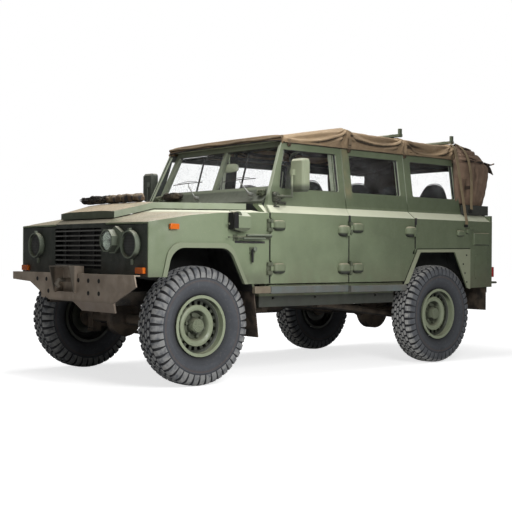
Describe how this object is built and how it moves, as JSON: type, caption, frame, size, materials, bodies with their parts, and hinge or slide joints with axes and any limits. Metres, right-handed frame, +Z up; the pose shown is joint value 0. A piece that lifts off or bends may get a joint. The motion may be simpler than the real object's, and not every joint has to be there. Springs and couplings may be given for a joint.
{
  "type": "military 4x4 utility car with canvas roof",
  "caption": "Olive four-door military 4x4 car with a canvas roof, rear curtain, lashed net rolls, working doors, bonnet, tailgate, steering and wheels.",
  "frame": {"origin": "on the ground, midway between the front and rear ends and between the two sides", "axes": "+X towards the front of the car, +Y to its left, +Z up"},
  "size_m": [4.1429, 2.11, 2.0161],
  "materials": {
    "body_paint": "matt olive, dusty",
    "dark_paint": "matt, very dark green",
    "brown_paint": "matt, dusty brown",
    "black_paint": "matt",
    "lamp_glass": "clear",
    "amber": "clear amber",
    "red_lens": "clear red",
    "tinted_glass": "smoke tint",
    "canvas": "coarse, faded",
    "seat_cover": "matt",
    "black_plastic": "grained",
    "engine_metal": "rough",
    "rusty_steel": "rusty",
    "bare_alloy": "worn",
    "brown_rubber": "dusty",
    "netting": "knotted",
    "tyre_rubber": "dusty",
    "wheel_paint": "matt olive"
  },
  "bodies": {
    "car": {"front_wings": "body_paint", "front_panel": "dark_paint", "grille": "dark_paint", "front_bumper": "brown_paint", "headlamps": "black_paint", "lamp_lenses": "lamp_glass", "indicators": "amber", "floor_pan": "body_paint", "bulkhead": "body_paint", "windscreen_frame": "body_paint", "body_sides": "body_paint", "hinge_posts": "body_paint", "fixed_glass": "tinted_glass", "roof_frame": "body_paint", "roof_canvas": "canvas", "rear_curtain": "canvas", "roof_poles": "black_paint", "seats": "seat_cover", "steering_wheel": "black_plastic", "engine": "engine_metal", "radiator": "black_paint", "driveline": "engine_metal", "chassis_rails": "black_paint", "crossmembers": "black_paint", "front_axle": "black_paint", "rear_axle": "black_paint", "suspension": "black_paint", "exhaust": "rusty_steel", "fuel_tank": "black_paint", "side_steps": "bare_alloy", "mudflaps": "brown_rubber", "rear_lamps": "red_lens", "body_fittings": "body_paint", "quarter_panels": "body_paint", "rear_frame": "body_paint", "scuttle_roll": "netting"},
    "bonnet": {"bonnet": "body_paint", "bonnet_roll": "netting"},
    "tailgate": {"tailgate": "body_paint"},
    "door_front_left": {"door_front_left": "body_paint", "glass_front_left": "tinted_glass", "mirror_left": "black_plastic"},
    "door_front_right": {"door_front_right": "body_paint", "glass_front_right": "tinted_glass", "mirror_right": "black_plastic"},
    "door_rear_left": {"door_rear_left": "body_paint", "glass_rear_left": "tinted_glass"},
    "door_rear_right": {"door_rear_right": "body_paint", "glass_rear_right": "tinted_glass"},
    "knuckle_left": {"knuckle_left": "black_paint"},
    "knuckle_right": {"knuckle_right": "black_paint"},
    "track_rod": {"track_rod": "black_paint"},
    "wheel_front_left": {"tyre_front_left": "tyre_rubber", "rim_front_left": "wheel_paint"},
    "wheel_front_right": {"tyre_front_right": "tyre_rubber", "rim_front_right": "wheel_paint"},
    "wheel_rear_left": {"tyre_rear_left": "tyre_rubber", "rim_rear_left": "wheel_paint"},
    "wheel_rear_right": {"tyre_rear_right": "tyre_rubber", "rim_rear_right": "wheel_paint"}
  },
  "joints": [
    {"name": "steer_left", "type": "hinge", "parent": "car", "child": "knuckle_left", "pos_m": [1.3715, 0.62, 0.425], "axis": [0, 0, 1], "range_deg": [-26, 26]},
    {"name": "steer_right", "type": "hinge", "parent": "car", "child": "knuckle_right", "pos_m": [1.3715, -0.62, 0.425], "axis": [0, 0, 1], "range_deg": [-26, 26]},
    {"name": "track_rod_turn", "type": "hinge", "parent": "knuckle_left", "child": "track_rod", "pos_m": [1.1965, 0.62, 0.31], "axis": [0, 0, 1], "range_deg": [-26, 26]},
    {"name": "spin_front_left", "type": "hinge", "parent": "knuckle_left", "child": "wheel_front_left", "pos_m": [1.3715, 0.75, 0.425], "axis": [0, 1, 0], "continuous": true},
    {"name": "spin_front_right", "type": "hinge", "parent": "knuckle_right", "child": "wheel_front_right", "pos_m": [1.3715, -0.75, 0.425], "axis": [0, 1, 0], "continuous": true},
    {"name": "spin_rear_left", "type": "hinge", "parent": "car", "child": "wheel_rear_left", "pos_m": [-1.2435, 0.75, 0.425], "axis": [0, 1, 0], "continuous": true},
    {"name": "spin_rear_right", "type": "hinge", "parent": "car", "child": "wheel_rear_right", "pos_m": [-1.2435, -0.75, 0.425], "axis": [0, 1, 0], "continuous": true},
    {"name": "open_door_front_left", "type": "hinge", "parent": "car", "child": "door_front_left", "pos_m": [0.7693, 0.903, 0.99], "axis": [0, 0, -1], "range_deg": [0, 68]},
    {"name": "open_door_front_right", "type": "hinge", "parent": "car", "child": "door_front_right", "pos_m": [0.7693, -0.903, 0.99], "axis": [0, 0, 1], "range_deg": [0, 68]},
    {"name": "open_door_rear_left", "type": "hinge", "parent": "car", "child": "door_rear_left", "pos_m": [-0.079, 0.903, 0.99], "axis": [0, 0, -1], "range_deg": [0, 68]},
    {"name": "open_door_rear_right", "type": "hinge", "parent": "car", "child": "door_rear_right", "pos_m": [-0.079, -0.903, 0.99], "axis": [0, 0, 1], "range_deg": [0, 68]},
    {"name": "open_bonnet", "type": "hinge", "parent": "car", "child": "bonnet", "pos_m": [0.7595, 0, 1.292], "axis": [0, -1, 0], "range_deg": [0, 50]},
    {"name": "open_tailgate", "type": "hinge", "parent": "car", "child": "tailgate", "pos_m": [-1.9505, 0, 0.672], "axis": [0, -1, 0], "range_deg": [0, 90]}
  ],
  "couplings": [
    {"joint": "steer_right", "follows": "steer_left", "ratio": 1},
    {"joint": "track_rod_turn", "follows": "steer_left", "ratio": -1}
  ]
}
